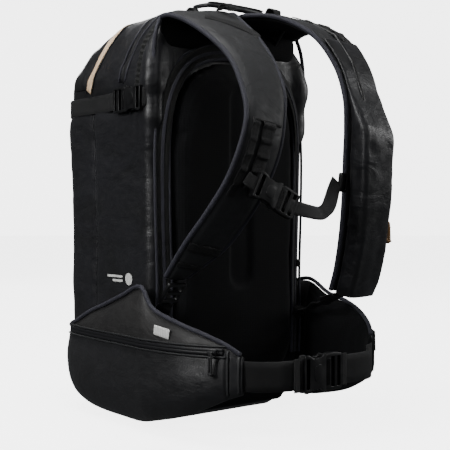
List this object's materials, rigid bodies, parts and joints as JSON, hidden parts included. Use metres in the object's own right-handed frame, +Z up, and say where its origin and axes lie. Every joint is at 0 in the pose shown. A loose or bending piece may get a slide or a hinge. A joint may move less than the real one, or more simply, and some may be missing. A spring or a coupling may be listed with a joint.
{
  "type": "avalanche airbag backpack",
  "caption": "Ski-touring backpack with arched front flap, padded back, zipped hip wings, shoulder straps, trigger pouch and airbag inflation system inside.",
  "frame": {"origin": "middle of the flat base the pack stands on", "axes": "+Z up, +Y towards the front of the pack away from the wearer, +X to the wearer's left"},
  "size_m": [0.3543, 0.4473, 0.5905],
  "materials": {
    "shell_fabric": "satin black woven nylon",
    "wing_fabric": "warm dark grey nylon over foam",
    "pad_fabric": "matte black spacer fabric",
    "band_fabric": "dark grey zip band",
    "tan_zip": "cream coated zip tape",
    "dark_zip": "black coated zip tape",
    "strap_fabric": "dark grey strap fabric",
    "webbing": "black polyester webbing",
    "buckle_plastic": "moulded black acetal",
    "slider_metal": "black painted zinc",
    "tan_pull": "tan corded pull",
    "dark_pull": "black corded pull",
    "label": "white woven label, blank",
    "frame_plastic": "polyethylene sheet",
    "stay_metal": "extruded aluminium",
    "bottle_metal": "painted aluminium bottle",
    "head_metal": "machined and anodised",
    "steel": "stainless steel",
    "airbag_fabric": "folded orange airbag nylon",
    "trigger_plastic": "moulded red handle",
    "cable_cover": "black cable housing"
  },
  "bodies": {
    "pack": {"airbag_folded": "airbag_fabric", "airbag_zip": "dark_zip", "back_pad": "pad_fabric", "back_zip_band": "band_fabric", "belt_webbing_left": "webbing", "belt_webbing_right": "webbing", "bottle_strap": "webbing", "compression_strap": "webbing", "frame_sheet": "frame_plastic", "frame_stays": "stay_metal", "front_zip": "tan_zip", "gas_bottle": "bottle_metal", "handle_cheeks": "strap_fabric", "hip_buckle_socket": "buckle_plastic", "hip_wing_left": "wing_fabric", "hip_wing_right": "wing_fabric", "hip_zip_left": "dark_zip", "hip_zip_right": "dark_zip", "inflator_head": "head_metal", "lever_pin": "steel", "lower_webbing_left": "webbing", "lower_webbing_right": "webbing", "lumbar_pad": "pad_fabric", "main_shell": "shell_fabric", "pouch_zip": "dark_zip", "shoulder_strap_left": "strap_fabric", "shoulder_strap_right": "strap_fabric", "side_buckle_left_socket": "buckle_plastic", "side_buckle_right_socket": "buckle_plastic", "side_pocket_left": "wing_fabric", "side_pocket_right": "wing_fabric", "side_tabs": "webbing", "strap_webbing_left": "webbing", "strap_webbing_right": "webbing", "trigger_cable": "cable_cover", "trigger_pouch": "strap_fabric", "woven_label": "label", "yoke_panel": "pad_fabric"},
    "flap": {"front_flap": "shell_fabric"},
    "grab_handle": {"grab_handle": "strap_fabric"},
    "hip_buckle_plug": {"hip_buckle_plug": "buckle_plastic"},
    "side_plug_right": {"side_buckle_right_plug": "buckle_plastic"},
    "side_plug_left": {"side_buckle_left_plug": "buckle_plastic"},
    "sternum": {"sternum_clips": "buckle_plastic", "sternum_buckle_socket": "buckle_plastic", "sternum_webbing": "webbing"},
    "sternum_plug": {"sternum_buckle_plug": "buckle_plastic"},
    "ladder_right": {"ladder_lock_right": "buckle_plastic"},
    "ladder_left": {"ladder_lock_left": "buckle_plastic"},
    "hip_slider_right": {"hip_slider_right": "slider_metal"},
    "hip_pull_right": {"hip_pull_right": "dark_pull"},
    "hip_slider_left": {"hip_slider_left": "slider_metal"},
    "hip_pull_left": {"hip_pull_left": "dark_pull"},
    "pouch_slider": {"pouch_slider": "slider_metal"},
    "pouch_pull": {"pouch_pull": "tan_pull"},
    "back_slider": {"back_slider": "slider_metal"},
    "front_slider": {"front_slider": "slider_metal"},
    "airbag_slider": {"airbag_slider": "slider_metal"},
    "trigger": {"trigger_handle": "trigger_plastic"},
    "lever": {"firing_lever": "steel"}
  },
  "joints": [
    {"name": "flap_hinge", "type": "hinge", "parent": "pack", "child": "flap", "pos_m": [0, 0.1165, 0.471], "axis": [-1, 0, 0], "range_deg": [0, 80]},
    {"name": "grab_handle_swing", "type": "hinge", "parent": "pack", "child": "grab_handle", "pos_m": [0, -0.099, 0.586], "axis": [-1, 0, 0], "range_deg": [0, 80]},
    {"name": "hip_buckle_release", "type": "slide", "parent": "pack", "child": "hip_buckle_plug", "axis": [1, 0, 0], "range_m": [0, 0.035], "deforming": ["belt_webbing_left"]},
    {"name": "side_buckle_release_right", "type": "slide", "parent": "pack", "child": "side_plug_right", "axis": [0, 1, 0], "range_m": [0, 0.024], "deforming": ["compression_strap"]},
    {"name": "side_buckle_release_left", "type": "slide", "parent": "pack", "child": "side_plug_left", "axis": [0, 1, 0], "range_m": [0, 0.024], "deforming": ["compression_strap"]},
    {"name": "sternum_height", "type": "slide", "parent": "pack", "child": "sternum", "axis": [-0.0301, 0.2706, -0.9622], "range_m": [0, 0.018]},
    {"name": "sternum_release", "type": "slide", "parent": "sternum", "child": "sternum_plug", "axis": [0.8786, -0.1337, -0.4584], "range_m": [0, 0.024], "deforming": ["sternum_webbing"]},
    {"name": "ladder_tilt_right", "type": "hinge", "parent": "pack", "child": "ladder_right", "pos_m": [-0.136, -0.163, 0.195], "axis": [-1, 0, 0], "range_deg": [0, 35], "deforming": ["lower_webbing_right"]},
    {"name": "ladder_tilt_left", "type": "hinge", "parent": "pack", "child": "ladder_left", "pos_m": [0.115, -0.221, 0.174], "axis": [-1, 0, 0], "range_deg": [0, 35], "deforming": ["lower_webbing_left"]},
    {"name": "hip_zip_right_slide", "type": "slide", "parent": "pack", "child": "hip_slider_right", "axis": [-0.4255, 0.905, 0], "range_m": [0, 0.04]},
    {"name": "hip_pull_right_swing", "type": "hinge", "parent": "hip_slider_right", "child": "hip_pull_right", "pos_m": [-0.15862, -0.26016, 0.118], "axis": [-0.4255, 0.905, 0], "range_deg": [0, 80]},
    {"name": "hip_zip_left_slide", "type": "slide", "parent": "pack", "child": "hip_slider_left", "axis": [0.3425, 0.9395, 0], "range_m": [0, 0.03]},
    {"name": "hip_pull_left_swing", "type": "hinge", "parent": "hip_slider_left", "child": "hip_pull_left", "pos_m": [0.16791, -0.23706, 0.118], "axis": [-0.3425, -0.9395, 0], "range_deg": [0, 80]},
    {"name": "pouch_zip_slide", "type": "slide", "parent": "pack", "child": "pouch_slider", "axis": [0.0082, -0.2193, 0.9756], "range_m": [0, 0.045]},
    {"name": "pouch_pull_swing", "type": "hinge", "parent": "pouch_slider", "child": "pouch_pull", "pos_m": [0.14205, -0.28583, 0.27687], "axis": [0.0358, -0.9994, 0], "range_deg": [0, 80]},
    {"name": "back_zip_slide", "type": "slide", "parent": "pack", "child": "back_slider", "axis": [0, 0, 1], "range_m": [0, 0.15]},
    {"name": "front_zip_slide", "type": "slide", "parent": "pack", "child": "front_slider", "axis": [0, -0.4404, 0.8978], "range_m": [0, 0.025]},
    {"name": "airbag_zip_slide", "type": "slide", "parent": "pack", "child": "airbag_slider", "axis": [0, -0.3296, 0.9441], "range_m": [0, 0.025]},
    {"name": "trigger_pull", "type": "slide", "parent": "pack", "child": "trigger", "axis": [0, 0, -1], "range_m": [0, 0.0105]},
    {"name": "lever_swing", "type": "hinge", "parent": "pack", "child": "lever", "pos_m": [0.082, -0.05, 0.438], "axis": [1, 0, 0], "range_deg": [-40, 0]}
  ],
  "couplings": [
    {"joint": "lever_swing", "follows": "trigger_pull", "rad_per_m": -66}
  ]
}
